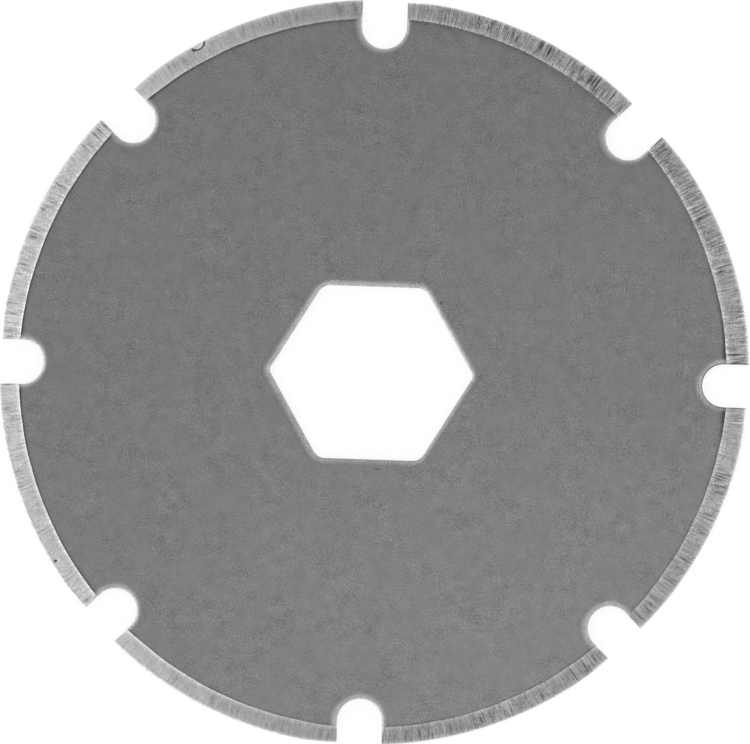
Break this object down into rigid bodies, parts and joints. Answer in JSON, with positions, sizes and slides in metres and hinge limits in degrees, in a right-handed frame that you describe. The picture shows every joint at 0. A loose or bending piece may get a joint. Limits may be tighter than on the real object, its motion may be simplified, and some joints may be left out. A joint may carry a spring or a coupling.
{
  "type": "perforating rotary cutter blade",
  "caption": "Thin round steel blade, ground sharp all round its rim, with notches that break the cut into a perforated line and a hexagon bore that keys it to a rotary cutter.",
  "frame": {"origin": "centre of the hexagon bore at mid-thickness", "axes": "+Z along the axis the blade turns on, out of the face with the punched lips; +X through a corner of the hexagon bore and the middle of a notch; +Y square to two flats of the bore and through a notch"},
  "size_m": [0.028, 0.0279, 0.0004],
  "materials": {
    "steel": "satin rolled faces, with bright ground bevels"
  },
  "bodies": {
    "root": {"blade": "steel"}
  },
  "joints": []
}
